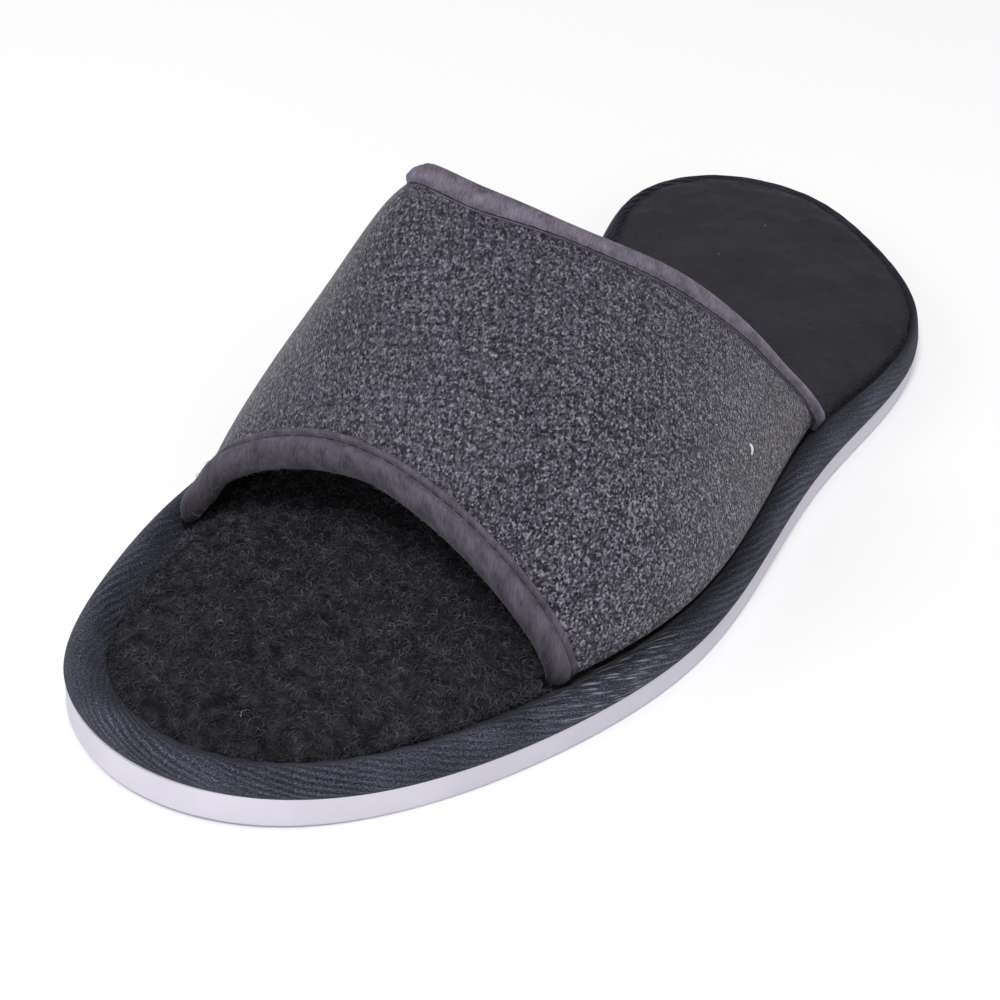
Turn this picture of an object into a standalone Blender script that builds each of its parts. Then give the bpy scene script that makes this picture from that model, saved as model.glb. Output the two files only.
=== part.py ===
"""Open-toe house slipper for the left foot.

A foam outsole carries a plush insole and a woven tape that binds the sole's edge. One wide knitted strap
rises between the tape and the insole, and a second, softer tape is folded over its front and rear edges.

Metres, +Z up. The slipper stands on z = 0, with its toe towards -Y and its little-toe side towards +X.
"""

import bmesh
import bpy
import numpy as np

MM = 0.001

# Sole, in metres
OUTSOLE_THICKNESS = 7.5 * MM
OUTSOLE_EDGE_ROUND = 1.2 * MM
TOE_SPRING = 1.2 * MM
TOE_SPRING_START = 235 * MM
CLEARANCE = 0.3 * MM

# Outline of the sole's edge, in millimetres from the heel and from the middle line
HEEL_TIP = (0.0, -24.4)
TOE_TIP = (280.6, -3.9)
SOLE_ROWS = (
    # from_heel, inner_side, outer_side
    (8, -47.6, -0.2),
    (30, -57.7, 28.0),
    (60, -49.9, 39.0),
    (95, -39.0, 43.0),
    (130, -44.2, 50.4),
    (170, -56.1, 57.9),
    (210, -56.2, 54.0),
    (245, -46.7, 41.9),
    (270.7, -31.1, 22.6),
)

# Woven tape round the sole's edge, in millimetres
EDGE_TAPE_WIDTH = 9.0
EDGE_TAPE_PROFILE = (
    # inset, above_outsole
    (0.4, 0.3),
    (0.0, 1.3),
    (0.3, 3.0),
    (1.6, 4.7),
    (3.6, 5.5),
    (5.6, 5.1),
    (7.4, 3.6),
    (EDGE_TAPE_WIDTH, 2.5),
    (EDGE_TAPE_WIDTH, 0.3),
)

# Insole, in metres
INSOLE_EDGE = 2.5 * MM
INSOLE_RISE = 5.3 * MM
INSOLE_FLATNESS = 4.0
INSOLE_SPINE_END = 45 * MM
INSOLE_RINGS = (1.0, 0.97, 0.9, 0.75, 0.5, 0.2)
INSOLE_CUT_RAMP = 5 * MM
INSOLE_CUT_MARGIN = 10 * MM

# Strap
WALL = 2.6 * MM
STRAP_SLOT = WALL + 1.5 * CLEARANCE
TUCK_END_HEIGHT = 10.3 * MM
STRAP_EDGES = {
    # a foot is given by its place from the heel, its base by (inset, height) of the wall's outer face,
    # and a crest by (from_heel, across, height), in millimetres
    "front": {
        "outer_foot": 209.5,
        "inner_foot": 219,
        "base": (7.4, 13.3),
        "crest": (213.5, 1.3, 45.5),
        "fullness": 1.65,
        "lean": 0.94,
    },
    "rear": {
        "outer_foot": 90,
        "inner_foot": 108,
        "base": (7.0, 13.3),
        "crest": (172.8, -19.0, 93),
        "fullness": 2.5,
        "lean": 1.28,
    },
}
STRAP_BOW = {
    # how far the strap swells halfway between its edges, in millimetres
    "base": (-3.4, 1.8),
    "crest": (0, -1, 4),
}

# Soft tape folded over the strap's edges, in metres
FOLD_TAPE = 0.9 * MM
FOLD_BULGE = 1.2 * MM
FOLD_FOOT = 1.7 * MM
TOE_TAPE_WIDTH = 5.9 * MM
COLLAR_TAPE_WIDTH = 6.4 * MM
INNER_TAPE_WIDTH = 6.5 * MM

# Fineness of the forms
SPLINE_STEPS = 40
NORMAL_STEP = 1e-3
SHARP_ANGLE = np.radians(50)
EDGE_ROUND_RINGS = 3
OUTLINE_POINTS = 96
STRAP_STATIONS = 15
ARCH_POINTS = 33
TUCK_POINTS = 3
FOLD_POINTS = 5
LEG_POINTS = 4

SURFACES = {
    # name: colour, roughness
    "pale_foam": ((0.68, 0.65, 0.73), 0.55),
    "black_plush": ((0.012, 0.012, 0.014), 0.95),
    "navy_twill": ((0.022, 0.023, 0.032), 0.8),
    "marled_knit": ((0.055, 0.052, 0.066), 0.9),
    "grey_tape": ((0.075, 0.068, 0.085), 0.75),
}


def closed_spline(points, samples):
    """Smooth closed curve through the points: a periodic cubic spline over the square root of the spacing."""
    count = len(points)
    after = np.roll(points, -1, axis=0)
    step = np.linalg.norm(after - points, axis=1) ** 0.5
    before = np.roll(step, 1)
    slope = (after - points) / step[:, None]
    turn = 6 * (slope - np.roll(slope, 1, axis=0))
    matrix = np.diag(2 * (before + step))
    index = np.arange(count)
    matrix[index, index - 1] = before
    matrix[index, (index + 1) % count] = step
    bend = np.linalg.solve(matrix, turn)
    knots = np.concatenate([[0], np.cumsum(step)])
    where = np.linspace(0, knots[-1], samples, endpoint=False)
    piece = np.searchsorted(knots, where, side="right") - 1
    done = (where - knots[piece])[:, None]
    left = step[piece][:, None] - done
    whole = step[piece][:, None]
    start, end = points[piece], after[piece]
    bend_start, bend_end = bend[piece], np.roll(bend, -1, axis=0)[piece]
    cubic = (bend_start * left**3 + bend_end * done**3) / (6 * whole)
    from_start = (start / whole - bend_start * whole / 6) * left
    from_end = (end / whole - bend_end * whole / 6) * done
    return cubic + from_start + from_end


def evenly_spaced(curve, samples):
    """The open curve read at equal steps of its length."""
    length = np.concatenate([[0], np.cumsum(np.linalg.norm(np.diff(curve, axis=0), axis=1))])
    where = np.linspace(0, length[-1], samples)
    return np.stack([np.interp(where, length, curve[:, axis]) for axis in range(curve.shape[1])], axis=1)


def sole_outline():
    """Edge of the sole as (from_heel, across): heel tip, outer side, toe tip, inner side back."""
    outer = [(row[0], row[2]) for row in SOLE_ROWS]
    inner = [(row[0], row[1]) for row in reversed(SOLE_ROWS)]
    table = np.array([HEEL_TIP, *outer, TOE_TIP, *inner], dtype=float) * MM
    curve = closed_spline(table, SPLINE_STEPS * len(table))
    toe = np.argmax(curve[:, 0])
    half = OUTLINE_POINTS // 2 + 1
    outer_side = evenly_spaced(curve[: toe + 1], half)
    inner_side = evenly_spaced(np.concatenate([curve[toe:], curve[:1]]), half)
    return np.concatenate([outer_side[:-1], inner_side[:-1]])


OUTLINE = sole_outline()
HALF_LENGTH = OUTLINE[:, 0].max() / 2
MIDDLE = (OUTLINE[:, 1].max() + OUTLINE[:, 1].min()) / 2


def inset_outline(inset):
    """The sole's edge moved inwards by inset, a number or one value for each point."""
    along = np.roll(OUTLINE, -1, axis=0) - np.roll(OUTLINE, 1, axis=0)
    inward = np.stack([-along[:, 1], along[:, 0]], axis=1)
    inward /= np.linalg.norm(inward, axis=1)[:, None]
    if np.sum((OUTLINE.mean(axis=0) - OUTLINE) * inward) < 0:
        inward = -inward
    return OUTLINE + inward * np.reshape(inset, (-1, 1))


def toe_lift(from_heel):
    """Rise of the sole towards the toe tip."""
    share = np.clip((from_heel - TOE_SPRING_START) / (2 * HALF_LENGTH - TOE_SPRING_START), 0, 1)
    return TOE_SPRING * share**2


def placed(from_heel, across, height):
    """Points in the slipper's own axes from distances along, across and up."""
    return np.stack(np.broadcast_arrays(across - MIDDLE, HALF_LENGTH - from_heel, height), axis=-1)


def sole_ring(outline, height):
    """An outline at a height, lifted with the toe."""
    return placed(outline[:, 0], outline[:, 1], height + toe_lift(outline[:, 0]))


def material(name):
    colour, roughness = SURFACES[name]
    made = bpy.data.materials.new(name)
    made.use_nodes = True
    shader = made.node_tree.nodes["Principled BSDF"]
    shader.inputs["Base Color"].default_value = (*colour, 1)
    shader.inputs["Roughness"].default_value = roughness
    shader.inputs["Metallic"].default_value = 0
    return made


def finish(name, bm, surface):
    bmesh.ops.recalc_face_normals(bm, faces=bm.faces)
    mesh = bpy.data.meshes.new(name)
    bm.to_mesh(mesh)
    bm.free()
    mesh.shade_smooth()
    mesh.set_sharp_from_angle(angle=SHARP_ANGLE)
    mesh.materials.append(surface)
    made = bpy.data.objects.new(name, mesh)
    bpy.context.collection.objects.link(made)
    return made


def bridge(bm, first, second):
    """Faces between two closed rings of vertices."""
    for i in range(len(first)):
        j = (i + 1) % len(first)
        bm.faces.new((first[i], first[j], second[j], second[i]))


def cap(bm, ring):
    """Faces across a foot-shaped ring, from its outer side to its inner side."""
    last = len(ring)
    for i in range(last // 2):
        corners = (ring[i], ring[i + 1], ring[last - i - 1], ring[-i])
        bm.faces.new(list(dict.fromkeys(corners)))


def lofted(name, rings, surface):
    """A closed solid through foot-shaped rings, capped at both ends."""
    bm = bmesh.new()
    loops = [[bm.verts.new(point) for point in ring] for ring in rings]
    for first, second in zip(loops, loops[1:]):
        bridge(bm, first, second)
    cap(bm, loops[0])
    cap(bm, loops[-1])
    return finish(name, bm, surface)


def sheet(name, grid, thickness, surface):
    """An open sheet through a grid of points, thickened to both sides."""
    bm = bmesh.new()
    rows = [[bm.verts.new(point) for point in row] for row in grid]
    for near, far in zip(rows, rows[1:]):
        for i in range(len(near) - 1):
            bm.faces.new((near[i], near[i + 1], far[i + 1], far[i]))
    made = finish(name, bm, surface)
    wall = made.modifiers.new("wall", "SOLIDIFY")
    wall.thickness = thickness
    wall.offset = 0
    wall.use_even_offset = True
    return made


def side_across(inset, from_heel, outer):
    """Distance from the middle line to an inset outline, on the outer or the inner side."""
    outline = inset_outline(inset)
    half = OUTLINE_POINTS // 2
    side = outline[: half + 1] if outer else np.roll(outline, -half, axis=0)[: half + 1][::-1]
    return np.interp(from_heel, side[:, 0], side[:, 1])


def inset_across(inset, from_heel, outer):
    """The same for insets that vary: read between the outline and the line at the edge tape's width."""
    edge = side_across(0.0, from_heel, outer)
    tape = side_across(EDGE_TAPE_WIDTH * MM, from_heel, outer)
    return edge + (tape - edge) * inset / (EDGE_TAPE_WIDTH * MM)


def edge_value(share, key):
    """A strap size between its front edge (share 0) and its rear edge (share 1), with the swell between them."""
    front = np.array(STRAP_EDGES["front"][key], dtype=float)
    rear = np.array(STRAP_EDGES["rear"][key], dtype=float)
    bow = np.array(STRAP_BOW.get(key, np.zeros_like(front)), dtype=float)
    share = np.reshape(share, np.shape(share) + (1,) * front.ndim)
    return front + (rear - front) * share + bow * 4 * share * (1 - share)


def strap_middle(share, turn):
    """Middle of the strap's wall: share runs from front to rear, turn from 0 (outer foot) to pi (inner foot).

    Each section is half a superellipse from foot to crest to foot, which leans forward as it rises.
    """
    outer = np.cos(turn) > 0
    foot = np.where(outer, edge_value(share, "outer_foot"), edge_value(share, "inner_foot")) * MM
    base_inset, base_height = np.moveaxis(edge_value(share, "base"), -1, 0) * MM
    inset = base_inset + WALL / 2
    foot_across = np.where(outer, inset_across(inset, foot, True), inset_across(inset, foot, False))
    crest = np.moveaxis(edge_value(share, "crest"), -1, 0) * MM
    power = 2 / edge_value(share, "fullness")
    sideways = np.abs(np.cos(turn)) ** power
    upwards = np.clip(np.sin(turn), 0, 1) ** power
    from_heel = foot + (crest[0] - foot) * upwards ** edge_value(share, "lean")
    across = crest[1] + (foot_across - crest[1]) * sideways
    height = base_height + (crest[2] - WALL / 2 - base_height) * upwards
    return placed(from_heel, across, height)


def strap_normal(share, turn):
    """Outward normal of the strap's middle surface, from small steps to either side."""
    turn = np.clip(turn, 2 * NORMAL_STEP, np.pi - 2 * NORMAL_STEP)
    along = strap_middle(share + NORMAL_STEP, turn) - strap_middle(share - NORMAL_STEP, turn)
    round_arch = strap_middle(share, turn + NORMAL_STEP) - strap_middle(share, turn - NORMAL_STEP)
    normal = np.cross(round_arch, along)
    return normal / np.linalg.norm(normal, axis=-1, keepdims=True)


def arch_turns(share):
    """Turns round the strap at each share: even steps that start and end FOLD_FOOT above the base."""
    rise = (edge_value(share, "crest")[:, 2] - edge_value(share, "base")[:, 1]) * MM - WALL / 2
    first = np.arcsin((FOLD_FOOT / rise) ** (edge_value(share, "fullness") / 2))
    return np.clip(np.linspace(0, np.pi, ARCH_POINTS)[:, None], first, np.pi - first)


def tucked_foot(share, outer):
    """The strap below its base: a quarter turn inwards, then down between the edge tape and the insole."""
    turn = np.linspace(0, np.pi / 2, TUCK_POINTS + 1)[1:, None]
    foot = edge_value(share, "outer_foot" if outer else "inner_foot") * MM
    inset, top = np.moveaxis(edge_value(share, "base"), -1, 0) * MM
    base = inset_across(inset + WALL / 2, foot, outer)
    seat = inset_across(EDGE_TAPE_WIDTH * MM + CLEARANCE + WALL / 2, foot, outer)
    across = base + (seat - base) * np.sin(turn)
    height = TUCK_END_HEIGHT + (top - TUCK_END_HEIGHT) * np.cos(turn)
    bottom = np.full((1, len(foot)), OUTSOLE_THICKNESS + CLEARANCE)
    return placed(foot, np.concatenate([across, across[-1:]]), np.concatenate([height, bottom]))


def build_outsole():
    """Foam slab with a rounded lower edge and an upright side."""
    rings = []
    for turn in np.linspace(0, np.pi / 2, EDGE_ROUND_RINGS):
        inset = OUTSOLE_EDGE_ROUND * (1 - np.sin(turn))
        rings.append(sole_ring(inset_outline(inset), OUTSOLE_EDGE_ROUND * (1 - np.cos(turn))))
    rings.append(sole_ring(inset_outline(0.0), OUTSOLE_THICKNESS))
    return lofted("outsole", rings, material("pale_foam"))


def insole_inset():
    """Inset of the insole's edge: it is cut back where the strap goes down beside it."""
    seat = EDGE_TAPE_WIDTH * MM + CLEARANCE
    half = OUTLINE_POINTS // 2
    outer = np.arange(OUTLINE_POINTS) <= half
    front = np.where(outer, STRAP_EDGES["front"]["outer_foot"], STRAP_EDGES["front"]["inner_foot"]) * MM
    rear = np.where(outer, STRAP_EDGES["rear"]["outer_foot"], STRAP_EDGES["rear"]["inner_foot"]) * MM
    ahead = np.clip((front + INSOLE_CUT_MARGIN - OUTLINE[:, 0]) / INSOLE_CUT_RAMP, 0, 1)
    behind = np.clip((OUTLINE[:, 0] - rear + INSOLE_CUT_MARGIN) / INSOLE_CUT_RAMP, 0, 1)
    return seat + STRAP_SLOT * ahead * behind


def insole_spine(edge):
    """Middle line of the insole for each point of its edge, ending short of the heel and toe tips."""
    middle = (edge + np.roll(edge[::-1], 1, axis=0)) / 2
    along = np.clip(middle[:, 0], INSOLE_SPINE_END, 2 * HALF_LENGTH - INSOLE_SPINE_END)
    half = middle[: OUTLINE_POINTS // 2 + 1]
    return np.stack([along, np.interp(along, half[:, 0], half[:, 1])], axis=1)


def build_insole():
    """Soft pad, highest along its middle line and rounded down to a thin edge."""
    edge = inset_outline(insole_inset())
    spine = insole_spine(edge)
    bottom = OUTSOLE_THICKNESS + CLEARANCE
    rings = [sole_ring(edge, bottom)]
    for reach in INSOLE_RINGS:
        height = bottom + INSOLE_EDGE + INSOLE_RISE * (1 - reach**INSOLE_FLATNESS) ** 0.5
        rings.append(sole_ring(spine + (edge - spine) * reach, height))
    return lofted("insole", rings, material("black_plush"))


def build_sole_binding():
    """Woven tape rolled over the sole's edge: one closed profile carried round the outline."""
    bm = bmesh.new()
    loops = []
    for inset, above in EDGE_TAPE_PROFILE:
        ring = sole_ring(inset_outline(inset * MM), OUTSOLE_THICKNESS + above * MM)
        loops.append([bm.verts.new(point) for point in ring])
    for first, second in zip(loops, loops[1:] + loops[:1]):
        bridge(bm, first, second)
    return finish("sole_binding", bm, material("navy_twill"))


def build_upper():
    """The strap: one arched wall, open to front, rear and below, with both feet tucked beside the insole."""
    share = np.linspace(0, 1, STRAP_STATIONS)
    turn = np.pad(arch_turns(share), ((1, 1), (0, 0)), constant_values=((0, np.pi), (0, 0)))
    arch = strap_middle(share[None, :], turn)
    outer_tuck = tucked_foot(share, True)[::-1]
    inner_tuck = tucked_foot(share, False)
    return sheet("upper", np.concatenate([outer_tuck, arch, inner_tuck]), WALL, material("marled_knit"))


def folded_tape(name, edge_share, width, surface):
    """A tape folded over the strap's edge at edge_share: an outer leg, a round fold and an inner leg.

    Its ends stop a little above the strap's base, where the wall turns inwards.
    """
    turn = arch_turns(np.array([edge_share]))[:, 0]
    reach = (WALL + FOLD_TAPE) / 2 + CLEARANCE
    fold = np.linspace(0, np.pi, FOLD_POINTS)
    legs = np.linspace(1, 0, LEG_POINTS)[:-1]
    behind = np.concatenate([width * legs, -FOLD_BULGE * np.sin(fold), INNER_TAPE_WIDTH * legs[::-1]])
    level = np.full(len(legs), reach)
    above = np.concatenate([level, reach * np.cos(fold), -level])
    strap_length = np.linalg.norm(strap_middle(1.0, turn) - strap_middle(0.0, turn), axis=1)
    into_strap = 1 if edge_share == 0 else -1
    share = edge_share + into_strap * behind[None, :] / strap_length[:, None]
    turn = np.broadcast_to(turn[:, None], share.shape)
    grid = strap_middle(share, turn) + above[None, :, None] * strap_normal(share, turn)
    return sheet(name, grid, FOLD_TAPE, surface)


def build_strap_tapes():
    surface = material("grey_tape")
    folded_tape("toe_binding", 0.0, TOE_TAPE_WIDTH, surface)
    folded_tape("collar_binding", 1.0, COLLAR_TAPE_WIDTH, surface)


def main():
    for old in list(bpy.data.objects):
        bpy.data.objects.remove(old)
    build_outsole()
    build_insole()
    build_sole_binding()
    build_upper()
    build_strap_tapes()


main()
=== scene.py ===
# %% [markdown]
# # An open-toe slipper
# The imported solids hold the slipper's true sizes: a foam outsole, a plush insole, a twill tape round the
# sole, a knitted strap and two tapes folded over its edges. They could be shown as they are, but cloth
# isn't a smooth solid. So each is covered by a finer surface of the same form, with its own weave, nap,
# stitches and loose hairs.

import bpy
import numpy as np
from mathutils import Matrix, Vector


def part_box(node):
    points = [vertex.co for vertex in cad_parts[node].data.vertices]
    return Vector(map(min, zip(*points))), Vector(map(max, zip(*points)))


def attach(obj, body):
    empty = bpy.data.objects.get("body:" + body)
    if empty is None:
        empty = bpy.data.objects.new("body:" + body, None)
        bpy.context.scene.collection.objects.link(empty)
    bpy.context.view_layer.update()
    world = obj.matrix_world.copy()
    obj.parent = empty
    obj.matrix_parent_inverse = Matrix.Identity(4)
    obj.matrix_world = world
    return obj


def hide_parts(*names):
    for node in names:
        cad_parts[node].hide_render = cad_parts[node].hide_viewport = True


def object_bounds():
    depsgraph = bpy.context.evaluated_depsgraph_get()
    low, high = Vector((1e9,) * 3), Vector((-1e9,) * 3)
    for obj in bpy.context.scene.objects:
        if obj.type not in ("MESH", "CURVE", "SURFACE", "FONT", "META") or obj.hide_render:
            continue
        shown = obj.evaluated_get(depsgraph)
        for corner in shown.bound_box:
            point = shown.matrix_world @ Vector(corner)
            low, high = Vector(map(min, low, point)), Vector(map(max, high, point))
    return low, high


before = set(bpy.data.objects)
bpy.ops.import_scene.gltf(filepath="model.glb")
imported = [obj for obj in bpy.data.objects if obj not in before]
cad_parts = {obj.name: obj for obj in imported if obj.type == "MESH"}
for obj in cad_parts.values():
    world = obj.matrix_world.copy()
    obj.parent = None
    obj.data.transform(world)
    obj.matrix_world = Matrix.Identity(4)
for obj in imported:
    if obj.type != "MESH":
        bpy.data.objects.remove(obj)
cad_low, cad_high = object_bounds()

MM = 0.001
print("CAD box", [round(x / MM, 1) for x in (*cad_low, *cad_high)], "mm")

# %% [markdown]
# ## The outline of the sole
# Every piece of the sole follows one closed line, the edge of the foam. A table of points could drift away
# from the solid, so the line is read from the outsole's top ring: its points are put in order, and their
# Fourier series gives the same smooth line with more points.

# %% Outline of the sole
OUTLINE_POINTS = 480
SOLE_THICKNESS = 7.5 * MM
TOE_SPRING_START = 235 * MM
CLEARANCE = 0.3 * MM
HALF_LENGTH = cad_high.y
TOE_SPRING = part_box("outsole")[1].z - SOLE_THICKNESS


def unit(vectors):
    """The vectors divided by their lengths."""
    return vectors / np.linalg.norm(vectors, axis=-1, keepdims=True)


def run_length(points):
    """The way along a line from its first point to each point: a running sum of its steps."""
    return np.concatenate([[0], np.cumsum(np.linalg.norm(np.diff(points, axis=0), axis=1))])


def cad_ring(node, lowest):
    """(x, y) of a CAD node's points above a height, in order from the heel by the little-toe side."""
    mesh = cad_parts[node].data
    points = np.empty(len(mesh.vertices) * 3, np.float32)
    mesh.vertices.foreach_get("co", points)
    points = points.reshape(-1, 3).astype(float)
    ring = np.unique(points[points[:, 2] > lowest, :2].round(6), axis=0)
    from_middle = ring - ring.mean(axis=0)
    angle = np.arctan2(from_middle[:, 0], from_middle[:, 1]) % (2 * np.pi)
    return ring[np.argsort(angle)]


def finer_ring(ring, samples):
    """The closed line through a ring with more samples: its Fourier series, padded with zeros."""
    waves = np.fft.fftshift(np.fft.fft(ring[:, 0] + 1j * ring[:, 1]))
    padded = np.pad(waves, (samples - len(ring)) // 2)
    line = np.fft.ifft(np.fft.ifftshift(padded)) * samples / len(ring)
    return np.stack([line.real, line.imag], axis=1)


def inset_ring(inset):
    """The outline moved inwards along its normals by inset, one value or one for each point."""
    inward = np.stack([HEADING[:, 1], -HEADING[:, 0]], axis=1)
    return OUTLINE + inward * np.reshape(inset, (-1, 1))


def toe_lift(y):
    """Rise of the sole at the toe: the square of the share of the way from the ball to the tip."""
    share = np.clip((HALF_LENGTH - y - TOE_SPRING_START) / (2 * HALF_LENGTH - TOE_SPRING_START), 0, 1)
    return TOE_SPRING * share**2


def sole_ring(inset, height):
    """The inset outline at a height above the floor, lifted with the toe."""
    ring = inset_ring(inset)
    return np.column_stack([ring, height + toe_lift(ring[:, 1])])


OUTLINE = finer_ring(cad_ring("outsole", SOLE_THICKNESS / 2), OUTLINE_POINTS)
HEADING = unit(np.roll(OUTLINE, -1, axis=0) - np.roll(OUTLINE, 1, axis=0))
edge_way = run_length(OUTLINE)
longest_step = np.diff(edge_way).max()
print("sole edge", round(edge_way[-1] / MM), "mm, longest step", round(longest_step / MM, 2), "mm")

# %% [markdown]
# ## From a grid of numbers to a mesh
# All large pieces are one kind of surface: a closed ring carried along a path. They could be extruded and
# bent by hand. As arrays, one function joins the points into faces, caps the ends, turns the faces
# outwards and keeps a UV map in real metres, which the weaves need.

# %% Mesh from arrays
SHARP_ANGLE = np.radians(50)


def make_mesh(name, points, quads, triangles=(), uv=None):
    """A new object from arrays of points and faces; uv has one pair for each corner, quads first."""
    quads = np.asarray(quads, np.int32).reshape(-1, 4)
    triangles = np.asarray(triangles, np.int32).reshape(-1, 3)
    corners = np.concatenate([quads.ravel(), triangles.ravel()])
    sizes = np.repeat([4, 3], [len(quads), len(triangles)])
    mesh = bpy.data.meshes.new(name)
    mesh.vertices.add(len(points))
    mesh.vertices.foreach_set("co", points.astype(np.float32).ravel())
    mesh.loops.add(len(corners))
    mesh.loops.foreach_set("vertex_index", corners)
    mesh.polygons.add(len(sizes))
    mesh.polygons.foreach_set("loop_start", (np.cumsum(sizes) - sizes).astype(np.int32))
    if uv is not None:
        mesh.uv_layers.new(name="flat").data.foreach_set("uv", uv.astype(np.float32).ravel())
    mesh.update(calc_edges=True)
    mesh.shade_smooth()
    mesh.set_sharp_from_angle(angle=SHARP_ANGLE)
    piece = bpy.data.objects.new(name, mesh)
    bpy.context.scene.collection.objects.link(piece)
    return piece


# %% Swept skins
def flat_lengths(grid, closed_path, even):
    """Metres along the path and round the ring: running sums of the distances between points."""
    grid = np.concatenate([grid, grid[:, :1]], axis=1)
    if closed_path:
        grid = np.concatenate([grid, grid[:1]])
    along = np.cumsum(np.linalg.norm(np.diff(grid, axis=0, prepend=grid[:1]), axis=-1), axis=0)
    around = np.cumsum(np.linalg.norm(np.diff(grid, axis=1, prepend=grid[:, :1]), axis=-1), axis=1)
    along -= along[len(along) // 2]
    if even:
        along = np.broadcast_to(along.mean(axis=1, keepdims=True), along.shape)
        around = np.broadcast_to(around.mean(axis=0), around.shape)
    return np.stack([along, around], axis=-1)


def swept(name, grid, closed_path=False, even=False):
    """A skin through grid[station, ring]: rings are closed, ends are capped unless the path closes."""
    stations, ring = grid.shape[:2]
    rows = stations if closed_path else stations - 1
    i, j = np.meshgrid(np.arange(rows), np.arange(ring), indexing="ij")
    corner_i = np.stack([i, i, i + 1, i + 1], axis=-1).reshape(-1, 4)
    corner_j = np.stack([j, j + 1, j + 1, j], axis=-1).reshape(-1, 4)
    if not closed_path:
        k = np.arange(ring // 2 - 1)
        ladder = np.stack([k, k + 1, ring - 2 - k, ring - 1 - k], axis=1)
        corner_i = np.concatenate([corner_i, np.zeros_like(ladder), np.full_like(ladder, stations - 1)])
        corner_j = np.concatenate([corner_j, ladder[:, ::-1], ladder])
    quads = (corner_i % stations) * ring + corner_j % ring
    points = grid.reshape(-1, 3)
    a, b, c, d = (points[quads[:, n]] for n in range(4))
    if np.sum(a * np.cross(b, c)) + np.sum(a * np.cross(c, d)) < 0:
        quads, corner_i, corner_j = quads[:, ::-1], corner_i[:, ::-1], corner_j[:, ::-1]
    uv = flat_lengths(grid, closed_path, even)[corner_i, corner_j]
    return make_mesh(name, points, quads, uv=uv)


# %% Dressing a piece
def dress(piece, slot, material, *nodes):
    """Gives a piece its finish, lets it ride on the slipper and stand for CAD nodes."""
    piece.data.materials.append(material)
    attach(piece, "root")
    if nodes:
        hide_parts(*nodes)
    faces = np.empty(len(piece.data.polygons), np.int32)
    piece.data.polygons.foreach_get("loop_total", faces)
    print(piece.name, int((faces - 2).sum()), "triangles")


# %% [markdown]
# ## Small tools for the finishes
# A finish is a tree of shader nodes. It could be wired by hand in the editor. In a script, a helper that
# adds a node and links its inputs keeps each finish readable as one recipe. Patterns are laid out in
# millimetres, on the UV map of the cloth or in the object's own coordinates.

# %% Shader helpers
MILLIMETRES = (1000, 1000, 1000)


class Recipe:
    """Adds nodes to a tree: each input takes a value or the output of another node."""

    def __init__(self, tree):
        self.tree = tree

    def add(self, kind, inputs=None, **settings):
        node = self.tree.nodes.new("ShaderNode" + kind)
        for name, value in settings.items():
            setattr(node, name, value)
        for name, value in (inputs or {}).items():
            if isinstance(value, bpy.types.NodeSocket):
                self.tree.links.new(value, node.inputs[name])
            else:
                node.inputs[name].default_value = value
        return node

    def math(self, operation, first, second=0.0, clamp=False):
        return self.add("Math", {0: first, 1: second}, operation=operation, use_clamp=clamp).outputs[0]

    def total(self, start, *parts):
        """The start plus the sum of (value, weight) pairs."""
        result = start
        for value, weight in parts:
            result = self.math("ADD", self.math("MULTIPLY", value, weight), result)
        return result

    def noise(self, vector, scale, detail=2.0, rough=0.5):
        """Noise about zero, from about -0.5 to 0.5."""
        inputs = {"Vector": vector, "Scale": scale, "Detail": detail, "Roughness": rough}
        return self.math("SUBTRACT", self.add("TexNoise", inputs).outputs["Fac"], 0.5)

    def part(self, vector, axis):
        return self.add("SeparateXYZ", {0: vector}).outputs[axis]

    def mapped(self, vector, scale=(1, 1, 1), turn=0.0):
        inputs = {"Vector": vector, "Scale": scale, "Rotation": (0, 0, turn)}
        return self.add("Mapping", inputs).outputs[0]

    def between(self, value, low, high):
        """0 below low, 1 above high."""
        return self.add("MapRange", {"Value": value, "From Min": low, "From Max": high}).outputs[0]

    def ramp(self, value, *stops):
        node = self.add("ValToRGB", {"Fac": value})
        for n, (place, colour) in enumerate(stops):
            stop = node.color_ramp.elements[n] if n < 2 else node.color_ramp.elements.new(place)
            stop.position = place
            stop.color = (*colour, 1)
        return node.outputs["Color"]

    def mix(self, share, first, second, blend="MIX"):
        inputs = {0: share, 6: first, 7: second}
        return self.add("Mix", inputs, data_type="RGBA", blend_type=blend).outputs[2]

    def dimmed(self, colour, start, *parts):
        """The colour times a total of (value, weight) pairs."""
        inputs = {0: colour, "Scale": self.total(start, *parts)}
        return self.add("VectorMath", inputs, operation="SCALE").outputs[0]

    def flat_place(self):
        """The place on the flat cloth in millimetres: along its length, round its width."""
        return self.mapped(self.add("UVMap", uv_map="flat").outputs[0], MILLIMETRES)

    def object_place(self):
        """The place on the slipper in millimetres."""
        return self.mapped(self.add("TexCoord").outputs["Object"], MILLIMETRES)

    def bump(self, height, distance):
        return self.add("Bump", {"Height": height, "Distance": distance, "Strength": 1.0}).outputs[0]

    def mask(self, group, **inputs):
        """The mask that a node group puts out."""
        return self.add("Group", inputs, node_tree=group).outputs["Mask"]


# %% Materials
CLOTH = {"Roughness": 0.9, "Specular IOR Level": 0.12, "Sheen Weight": 0.12, "Sheen Roughness": 0.3}


def finish(name, recipe, constants):
    """A material with a Principled shader: constants for some inputs, the recipe's outputs for others."""
    material = bpy.data.materials.new(name)
    material.use_nodes = True
    shader = material.node_tree.nodes["Principled BSDF"]
    for socket, value in constants.items():
        shader.inputs[socket].default_value = value
    for socket, output in recipe(Recipe(material.node_tree)).items():
        material.node_tree.links.new(output, shader.inputs[socket])
    return material


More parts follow.
